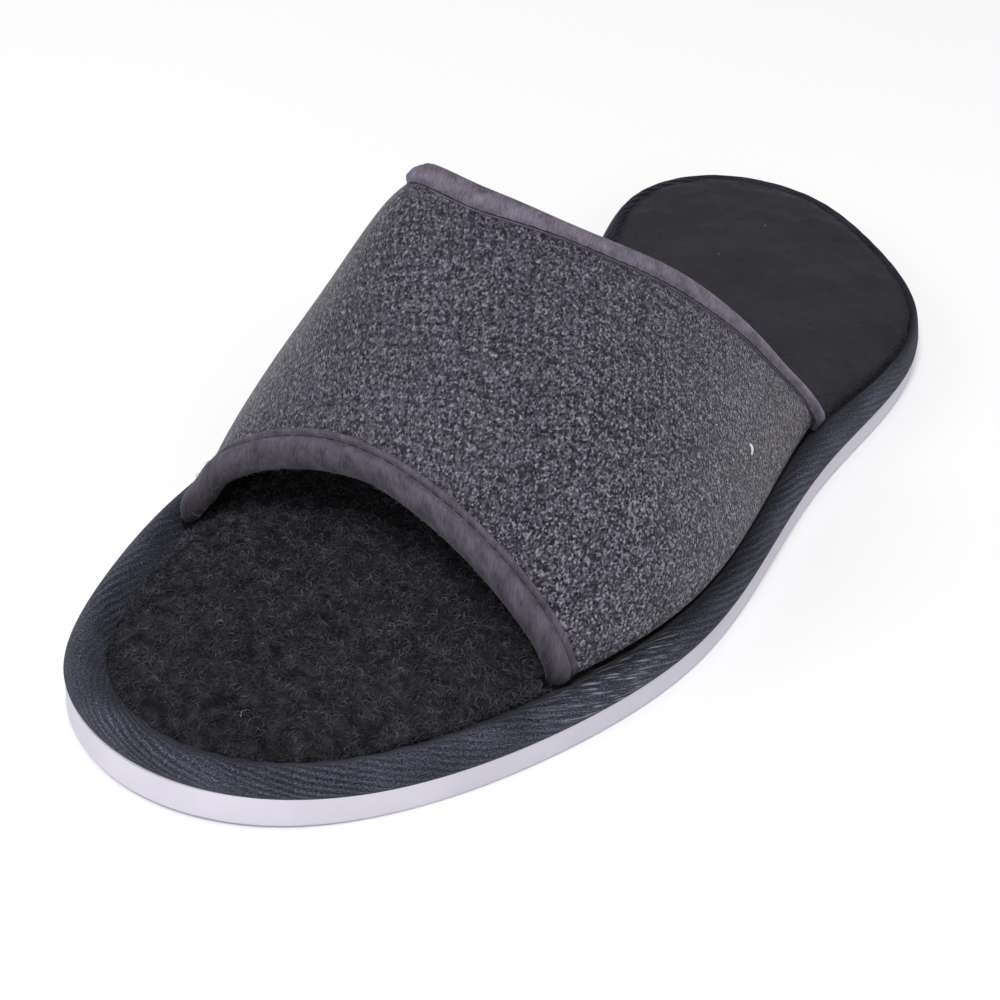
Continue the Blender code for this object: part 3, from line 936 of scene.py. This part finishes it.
def knit(make):
    where = make.flat_place()
    place = make.object_place()
    stretched = make.mapped(place, (1.35, 1.0, 1.0))
    yarn = make.add("TexVoronoi", {"Vector": stretched, "Scale": 1.8})
    chosen = make.add("SeparateColor", {"Color": yarn.outputs["Color"]}).outputs[0]
    fleck = make.noise(stretched, 1.55, 1.0)
    repeat = make.mapped(where, (2 * np.pi / KNIT_REPEAT,) * 3, KNIT_TURN)
    column = make.math("COSINE", make.part(repeat, 0))
    row = make.math("COSINE", make.part(repeat, 1))
    slow = make.noise(place, 0.03, 3)
    marl = make.total(-0.23, (chosen, 0.46), (fleck, 0.79))
    # Painted light: the knit is lighter, with stronger flecks, on the little-toe side.
    painted_light_side = make.between(make.part(place, 0), 15, 45)
    marl = make.math("MULTIPLY", marl, make.total(1.0, (painted_light_side, 0.28)))
    loops = make.math("ADD", column, row)
    tone = make.total(0.482, (marl, 1.0), (loops, 0.035), (slow, 0.12), (painted_light_side, 0.015))
    colour = make.ramp(
        tone,
        (0.15, (0.013, 0.0121, 0.0161)),
        (0.34, (0.033, 0.0307, 0.0415)),
        (0.5, (0.064, 0.059, 0.080)),
        (0.66, (0.120, 0.111, 0.149)),
        (0.9, (0.29, 0.271, 0.347)),
    )
    tint = make.between(make.noise(place, 0.11, 2), -0.2, 0.2)
    colour = make.mix(make.math("MULTIPLY", tint, 0.5), colour, (0.97, 1.01, 0.85, 1), "MULTIPLY")
    colour = make.mix(patch(make, *SOILED_SIDE), colour, (1.05, 1.0, 0.88, 1), "MULTIPLY")
    height = make.total(0.0, (yarn.outputs["Distance"], -1.0), (tone, 0.5))
    return {"Base Color": dusted(make, where, colour, 0.015), "Normal": make.bump(height, 0.25 * MM)}


# %% Lining finish
def lining(make):
    where = make.flat_place()
    nap = make.noise(make.mapped(where, (1.2, 0.5, 1)), 1.0, 4, 0.6)
    tone = make.math("ADD", nap, 0.5)
    colour = make.ramp(tone, (0.3, (0.002, 0.002, 0.003)), (0.7, (0.008, 0.008, 0.0105)))
    return {"Base Color": colour, "Normal": make.bump(nap, 0.5 * MM)}


# %% Knitted strap
FOOT_STATIONS = 12
strap_grid = strap_rings()
strap = swept("knit_strap", strap_grid)
dress(strap, "marled_knit", finish("marled_knit", knit, {**CLOTH, "Sheen Weight": 0.25}), "upper")
inside_finish = finish("black_lining", lining, {**CLOTH, "Roughness": 1.0, "Sheen Weight": 0.0})
strap.data.materials.append(inside_finish)
lining_and_shade = np.zeros((STRAP_STATIONS - 1, 2 * WALL_STEPS), np.int32)
lining_and_shade[:, WALL_STEPS:-1] = 1
# Painted shade: the cut edges near both feet take the black lining too, so that they look shaded where the
# tapes end.
lining_and_shade[:FOOT_STATIONS, [WALL_STEPS - 1, -1]] = 1
lining_and_shade[-FOOT_STATIONS:, [WALL_STEPS - 1, -1]] = 1
finish_number = np.zeros(len(strap.data.polygons), np.int32)
finish_number[: lining_and_shade.size] = lining_and_shade.ravel()
strap.data.polygons.foreach_set("material_index", finish_number)
print("lined faces", finish_number.sum())

# %% [markdown]
# ## The soft tapes on the strap's edges
# A brushed tape is folded over each edge of the strap and sewn through near its border. A bevelled curve
# would give a round cord. So the profile is drawn on the strap's own surface: an outer leg with a groove
# at the seam, a round fold and a shorter inner leg. Distances behind the edge become shares of the strap's
# length, and heights go along its normal.

# %% Folded profile
TAPE = 0.9 * MM
FOLD_BULGE = 1.2 * MM
SWELL = 0.8 * MM
FOLD_START = 3.0 * MM
INNER_LEG = 6.5 * MM
LEG_STEPS = 26
FOLD_STEPS = 16
GROOVE_DEPTH = 0.55 * MM
GROOVE_WIDTH = 0.55 * MM
CURL_DEPTH = 0.4 * MM
CURL_WIDTH = 0.6 * MM


def tape_profile(width, border, reach):
    """(behind, above) of one side of the tape: an outer leg, two quarter ellipses, an inner leg.

    The outer leg curls in at its border, dips into the seam's groove and swells past it.
    """
    leg = np.linspace(width, FOLD_START, LEG_STEPS)[:-1]
    groove = GROOVE_DEPTH * np.exp(-(((leg - (width - border)) / GROOVE_WIDTH) ** 2))
    curl = CURL_DEPTH * np.clip(1 - (width - leg) / CURL_WIDTH, 0, 1)
    past_seam = np.clip((width - border - leg) / (width - border - FOLD_START), 0, 1)
    swell = SWELL * np.sin(np.pi / 2 * past_seam)
    fold = np.linspace(0, np.pi, FOLD_STEPS)
    fold_reach = reach + SWELL * (np.cos(fold) > 0)
    inner = np.linspace(FOLD_START, INNER_LEG, LEG_STEPS)[1:]
    behind = np.concatenate([leg, FOLD_START - (FOLD_START + FOLD_BULGE) * np.sin(fold), inner])
    outer_leg = reach + swell - groove - curl
    above = np.concatenate([outer_leg, fold_reach * np.cos(fold), np.full(len(inner), -reach)])
    return np.stack([behind, above])


# %% Tapes along the edges
TAPE_STATIONS = 170
END_ROUND = 3.0 * MM
END_THICKNESS = 0.7
TAB_REACH = 6 * MM
SLIM_REACH = 14 * MM
COLLAR_NARROW = 0.78
COLLAR_WIDE = 1.2
WIDENING_START = 1.05
WIDENING_LENGTH = 0.4


def edge_place(edge_share, turn, behind):
    """The share of the strap that lies a distance behind one of its edges.

    The collar's tape is pulled narrow on the little-toe side and is wider from the crest on.
    """
    length = np.linalg.norm(strap_middle(1.0, turn) - strap_middle(0.0, turn), axis=-1)
    if edge_share == 0:
        return behind / length
    slack = smooth_step((turn - WIDENING_START) / WIDENING_LENGTH)
    return 1 - behind * (COLLAR_NARROW + (COLLAR_WIDE - COLLAR_NARROW) * slack) / length


def tape_rings(edge_share, width, border, tucks, tab, slim):
    """Closed rings round the tape's thickness: its outer side, then its inner side back.

    Towards both ends the tape thins out along a quarter of a circle. At the little-toe side a tab stands
    away from the strap, and the fold gets slimmer.
    """
    turn = even_turns(edge_share, TAPE_STATIONS, *tucks)[:, None]
    way = run_length(strap_middle(edge_share, turn[:, 0]))
    to_end = np.clip(np.minimum(way, way[-1] - way) / END_ROUND, 0, 1)
    thick = END_THICKNESS + (1 - END_THICKNESS) * np.sqrt(1 - (1 - to_end) ** 2)
    lift = tab * np.exp(-((way / TAB_REACH) ** 2))
    inner_reach = WALL / 2 + CLEARANCE
    outer = tape_profile(width, border, inner_reach + TAPE)
    inner = tape_profile(width, border, inner_reach)
    behind, above = np.concatenate([outer, inner[:, ::-1]], axis=1)[:, None]
    slimming = slim * np.exp(-((way / SLIM_REACH) ** 2))[:, None]
    behind = behind - np.minimum(behind - FOLD_START, 0) * slimming
    above = above * thick[:, None] + lift[:, None]
    share = edge_place(edge_share, turn, behind)
    turn = np.broadcast_to(turn, share.shape)
    return strap_middle(share, turn) + above[..., None] * strap_normal(share, turn)


# %% Tape finish
def soft_tape(make):
    where = make.flat_place()
    place = make.object_place()
    nap = make.noise(make.mapped(where, (2.6, 0.5, 1)), 1.0, 4, 0.6)
    slow = make.noise(where, 0.25, 3)
    tone = make.total(0.5, (nap, 1.1), (slow, 1.1))
    colour = make.ramp(tone, (0.15, (0.036, 0.031, 0.042)), (0.85, (0.120, 0.105, 0.138)))
    # Painted light: the tape is lighter along the collar than at the toe.
    behind = make.between(make.part(place, 1), -62, -35)
    colour = make.dimmed(colour, 1.0, (behind, 0.6))
    # Painted shade: the tape is darker low down near the feet, on the lower half of its fold, and a little
    # in the gap on the big-toe side.
    above_sole = make.between(make.part(place, 2), 12, 22)
    rolled = make.between(make.part(where, 1), 4.0, 7.5)
    in_gap = make.between(make.part(place, 0), -30, -46)
    colour = make.dimmed(colour, 0.66, (above_sole, 0.5), (rolled, -0.42), (in_gap, -0.08))
    return {"Base Color": dusted(make, where, colour, 0.02), "Normal": make.bump(nap, 0.15 * MM)}


# %% Both tapes
TAPES = {
    # edge: share, width, border beyond the seam, how far each end is tucked, tab's lift, slimming
    "toe": (0.0, 5.3 * MM, 1.3 * MM, (0.1, -0.05), 0.0, 0.2),
    "collar": (1.0, 5.0 * MM, 0.4 * MM, (0.12, 0.12), 0.9 * MM, 0.0),
}
tape_finish = finish("grey_tape", soft_tape, {**CLOTH, "Sheen Weight": 0.14})
tape_grids = {edge: tape_rings(*sizes) for edge, sizes in TAPES.items()}
for edge, grid in tape_grids.items():
    dress(swept(edge + "_tape", grid), "grey_tape", tape_finish, edge + "_binding")

# %% [markdown]
# ## The seams that hold the tapes
# A dark thread runs in the groove of each tape. A dark line in the finish would lie as flat as print. So
# every stitch is a short tube that rises out of the cloth and dips back into it.

# %% Stitches
STITCH_PITCH = 3.0 * MM
STITCH_LENGTH = 2.9 * MM
STITCH_RADIUS = 0.15 * MM
STITCH_RINGS = 6
SEAM_SAMPLES = 3000


def stitches(name, edge_share, behind):
    """Tubes along the groove at equal steps of length, each bowed like half a sine wave."""
    fine = np.linspace(0, np.pi, SEAM_SAMPLES)
    way = run_length(strap_middle(edge_place(edge_share, fine, behind), fine))
    start = np.arange(STITCH_PITCH, way[-1] - 2 * STITCH_PITCH, STITCH_PITCH)[:, None]
    t = np.linspace(0, 1, STITCH_RINGS)
    turn = np.interp(start + STITCH_LENGTH * t, way, fine)
    share = edge_place(edge_share, turn, behind)
    up = strap_normal(share, turn)
    above = WALL / 2 + CLEARANCE + TAPE - GROOVE_DEPTH + STITCH_RADIUS * (1.2 * np.sin(np.pi * t) - 0.9)
    centre = strap_middle(share, turn) + up * above[:, None]
    across = np.cross(up, unit(np.gradient(centre, axis=1)))
    return tubes(name, centre, across, up, np.full(turn.shape, STITCH_RADIUS), 6, 50)


def dark_thread(make):
    colour = hair_colour(make, (0.016, 0.015, 0.02), (0.04, 0.037, 0.048))
    twist = make.noise(make.object_place(), 4.0, 2)
    return {"Base Color": colour, "Normal": make.bump(twist, 0.1 * MM)}


thread = finish("dark_thread", dark_thread, {**CLOTH, "Roughness": 0.7})
for edge, (share, width, border, *_) in TAPES.items():
    dress(stitches(edge + "_stitches", share, width - border), "grey_tape", thread, edge + "_binding")

# %% [markdown]
# ## Fuzz and lint
# A worn knit is slightly fuzzy, which shows as a soft pale line against the light, and a few white hairs
# have caught on the slipper. The shader's sheen could stand for the fuzz, but the outline would stay as
# clean as metal. So short loose hairs are strewn over the strap and its tapes, and the lint is placed
# where it lies on the slipper.

# %% Fuzz
FUZZ_HAIRS = 4200
TAPE_FUZZ_HAIRS = 600
FUZZ_RADIUS = 0.035 * MM
HIDDEN_STATIONS = 5
BARE_TAPE_STATIONS = 4


def fuzz(make):
    return {"Base Color": hair_colour(make, (0.045, 0.042, 0.053), (0.17, 0.163, 0.195))}


def fuzz_piece(name, surface, count, seed):
    """Loose thin hairs on a grid surface, 0.7 to 1.8 mm long."""
    chance = np.random.default_rng(seed)
    root, normal = scatter(surface, count, seed)
    length = chance.uniform(0.7, 1.8, count) * MM
    rise = chance.uniform(0.1, 0.5, count) * MM
    return hairs(name, root, normal, length, rise, FUZZ_RADIUS, 2.5, seed + 1)


fuzz_finish = finish("pale_fuzz", fuzz, {**CLOTH, "Sheen Weight": 0.3})
knit_side = strap_grid[HIDDEN_STATIONS:-HIDDEN_STATIONS, :WALL_STEPS]
dress(fuzz_piece("knit_fuzz", knit_side, FUZZ_HAIRS, 60), "marled_knit", fuzz_finish, "upper")
for edge, grid in tape_grids.items():
    outer_side = grid[BARE_TAPE_STATIONS:-BARE_TAPE_STATIONS, : LEG_STEPS + FOLD_STEPS]
    tape_fuzz = fuzz_piece(edge + "_fuzz", outer_side, TAPE_FUZZ_HAIRS, 70)
    dress(tape_fuzz, "grey_tape", fuzz_finish, edge + "_binding")

# %% Lint
PLUSH_LINT = (
    # across, along the slipper, length (mm)
    (-29.6, -108.0, 0.9),
    (-14.4, -101.1, 1.6),
    (7.6, -120.9, 3.6),
    (19.4, -85.6, 1.2),
    (-37.1, -78.2, 0.8),
    (-20.4, 114.3, 1.0),
    (-22.1, 93.8, 0.9),
)
STRAP_LINT = (
    # turn over the arch (radians), share of the strap
    (0.205, 0.723),
    (0.2, 0.724),
)


def lint(make):
    colour = hair_colour(make, (0.5, 0.49, 0.52), (0.85, 0.84, 0.86))
    on_strap = make.between(make.part(make.object_place(), 2), 17, 20)
    return {"Base Color": make.dimmed(colour, 0.35, (on_strap, 0.65))}


def nearest(surface, wanted):
    """The point of a surface that is nearest in plan to each wanted (x, y)."""
    points = surface.reshape(-1, 3)
    away = np.linalg.norm(points[None, :, :2] - wanted[:, None], axis=-1)
    return points[away.argmin(axis=1)]


lint_finish = finish("white_lint", lint, {**CLOTH, "Sheen Weight": 0.1})
lint_table = np.array(PLUSH_LINT) * MM
lint_root = nearest(pad_top, lint_table[:, :2]) + (0, 0, 0.7 * MM)
lint_normal = np.tile((0.0, 0.0, 1.0), (len(PLUSH_LINT), 1))
plush_lint = hairs("plush_lint", lint_root, lint_normal, lint_table[:, 2], 0.4 * MM, 0.09 * MM, 3.5, 80)
dress(plush_lint, "black_plush", lint_finish, "insole")
lint_turn, lint_share = np.array(STRAP_LINT).T
lint_normal = strap_normal(lint_share, lint_turn)
lint_root = strap_middle(lint_share, lint_turn) + lint_normal * (WALL / 2 + 0.1 * MM)
sizes = (2.4 * MM, 0.3 * MM, 0.3 * MM)
strap_lint = hairs("strap_lint", lint_root, lint_normal, *sizes, 0.4, 92, (2.4, 2.7))
dress(strap_lint, "marled_knit", lint_finish, "upper")

# %% [markdown]
# ## Floor, light and camera
# The slipper stands on a plain pale floor. One bare lamp could light it, but its shadows would be hard, so
# soft light comes from all round, and the shadow that the strap throws back on the plush gives the place
# of the smaller key. The camera stays where the photograph was taken from. It is turned to the slipper by
# the smallest turn, so that the picture isn't rolled, and its lens is lengthened to fill the frame.

# %% Floor
FLOOR_SIZE = 8.0


def pale_floor(make):
    tone = make.math("ADD", make.noise(make.add("TexCoord").outputs["Object"], 2.0, 2), 0.5)
    return {"Base Color": make.ramp(tone, (0.3, (0.96, 0.96, 0.965)), (0.7, (0.98, 0.98, 0.985)))}


corner = FLOOR_SIZE / 2
floor_points = corner * np.array([(-1, -1, 0), (1, -1, 0), (1, 1, 0), (-1, 1, 0)])
floor = make_mesh("floor", floor_points, [(0, 1, 2, 3)])
floor_finish = finish("pale_floor", pale_floor, {"Roughness": 0.9, "Specular IOR Level": 0.1})
floor.data.materials.append(floor_finish)
print("floor", FLOOR_SIZE, "m wide")

# %% Light
ROOM_STRENGTH = 0.53
world = bpy.data.worlds.new("soft_room")
bpy.context.scene.world = world
world.use_nodes = True
room = world.node_tree.nodes["Background"].inputs
room["Color"].default_value = (1, 1, 1, 1)
room["Strength"].default_value = ROOM_STRENGTH
SOFTBOXES = (
    # name, place and size (metres), watts
    ("key", (0.39, -0.94, 1.31), 0.3, 13),
    ("overhead", (-0.1, 0.5, 1.6), 1.8, 4.5),
    ("front_right", (1.2, -0.9, 0.9), 1.2, 2.5),
    ("front_left", (-1.0, -1.0, 0.9), 1.0, 2.5),
)


def aimed(name, data, place, turn):
    """A new lamp or camera at a place, turned by a quaternion."""
    thing = bpy.data.objects.new(name, data)
    thing.location = place
    thing.rotation_mode = "QUATERNION"
    thing.rotation_quaternion = turn
    bpy.context.scene.collection.objects.link(thing)
    return thing


for name, place, size, watts in SOFTBOXES:
    light = bpy.data.lights.new(name, "AREA")
    light.size = size
    light.energy = watts
    aimed(name, light, place, (-Vector(place)).to_track_quat("-Z", "Y"))
bpy.context.scene.view_settings.view_transform = "Standard"
print("lights", [name for name, *_ in SOFTBOXES])

# %% Camera
CAMERA_PLACE = Vector((0.2804, -0.4289, 0.3650))
PHOTO_AIM = Vector((-0.555, 0.612, -0.5635))
SLIPPER_AIM = Vector((0.0056, -0.0343, 0.02))
LENS = 98
camera_data = bpy.data.cameras.new("camera")
camera_data.lens = LENS
to_slipper = PHOTO_AIM.rotation_difference(SLIPPER_AIM - CAMERA_PLACE)
camera_turn = to_slipper @ PHOTO_AIM.to_track_quat("-Z", "Y")
bpy.context.scene.camera = aimed("camera", camera_data, CAMERA_PLACE, camera_turn)
print("camera", round((SLIPPER_AIM - CAMERA_PLACE).length / MM), "mm away, lens", LENS, "mm")
